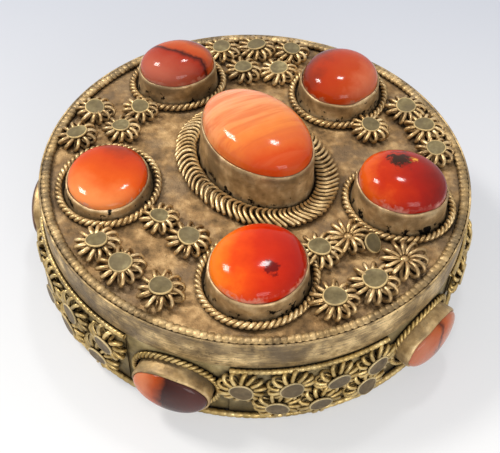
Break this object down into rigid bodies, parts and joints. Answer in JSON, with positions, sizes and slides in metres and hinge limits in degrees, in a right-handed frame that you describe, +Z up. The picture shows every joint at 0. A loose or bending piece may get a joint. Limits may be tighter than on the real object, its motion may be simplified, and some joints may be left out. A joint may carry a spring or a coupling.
{
  "type": "trinket box",
  "caption": "Round metal trinket box with a lift-off lid, cabochon stones in cups, wire rosettes, rope wires and a wound wire ring round the centre stone.",
  "frame": {"origin": "centre of the flat underside, on the axis of the round wall", "axes": "+Z up through the lid, +X to the right and -Y towards the viewer of the picture"},
  "size_m": [0.0913, 0.0917, 0.0347],
  "materials": {
    "carnelian": "polished cabochon, translucent orange-red agate",
    "disc_brass": "matte, aged, greenish",
    "plate_gilt": "worn gilt, mottled and pitted",
    "skirt_silver": "worn, fine lengthwise scratches",
    "body_silver": "aged, dull",
    "bezel_gilt": "worn gilt sheet",
    "wire_gilt": "worn gilt wire, bright on the crowns"
  },
  "bodies": {
    "box": {"base_collar": "body_silver", "base_floor": "body_silver", "base_foot_wire": "wire_gilt", "base_top_wire": "wire_gilt", "base_wall": "body_silver", "side_bezel_1": "bezel_gilt", "side_bezel_2": "bezel_gilt", "side_bezel_3": "bezel_gilt", "side_bezel_4": "bezel_gilt", "side_bezel_5": "bezel_gilt", "side_discs": "disc_brass", "side_rope_1": "wire_gilt", "side_rope_2": "wire_gilt", "side_rope_3": "wire_gilt", "side_rope_4": "wire_gilt", "side_rope_5": "wire_gilt", "side_rosettes_1": "wire_gilt", "side_rosettes_2": "wire_gilt", "side_rosettes_3": "wire_gilt", "side_rosettes_4": "wire_gilt", "side_rosettes_5": "wire_gilt", "side_stone_1": "carnelian", "side_stone_2": "carnelian", "side_stone_3": "carnelian", "side_stone_4": "carnelian", "side_stone_5": "carnelian"},
    "lid": {"centre_bezel": "bezel_gilt", "centre_coil": "wire_gilt", "centre_stone": "carnelian", "lid_bezel_1": "bezel_gilt", "lid_bezel_2": "bezel_gilt", "lid_bezel_3": "bezel_gilt", "lid_bezel_4": "bezel_gilt", "lid_bezel_5": "bezel_gilt", "lid_discs": "disc_brass", "lid_plate": "plate_gilt", "lid_rim_wire": "wire_gilt", "lid_rope_1": "wire_gilt", "lid_rope_2": "wire_gilt", "lid_rope_3": "wire_gilt", "lid_rope_4": "wire_gilt", "lid_rope_5": "wire_gilt", "lid_rosettes_1": "wire_gilt", "lid_rosettes_2": "wire_gilt", "lid_rosettes_3": "wire_gilt", "lid_rosettes_4": "wire_gilt", "lid_rosettes_5": "wire_gilt", "lid_skirt": "skirt_silver", "lid_stone_1": "carnelian", "lid_stone_2": "carnelian", "lid_stone_3": "carnelian", "lid_stone_4": "carnelian", "lid_stone_5": "carnelian"}
  },
  "joints": [
    {"name": "lid_lift", "type": "slide", "parent": "box", "child": "lid", "axis": [0, 0, 1], "range_m": [0, 0.03]}
  ]
}
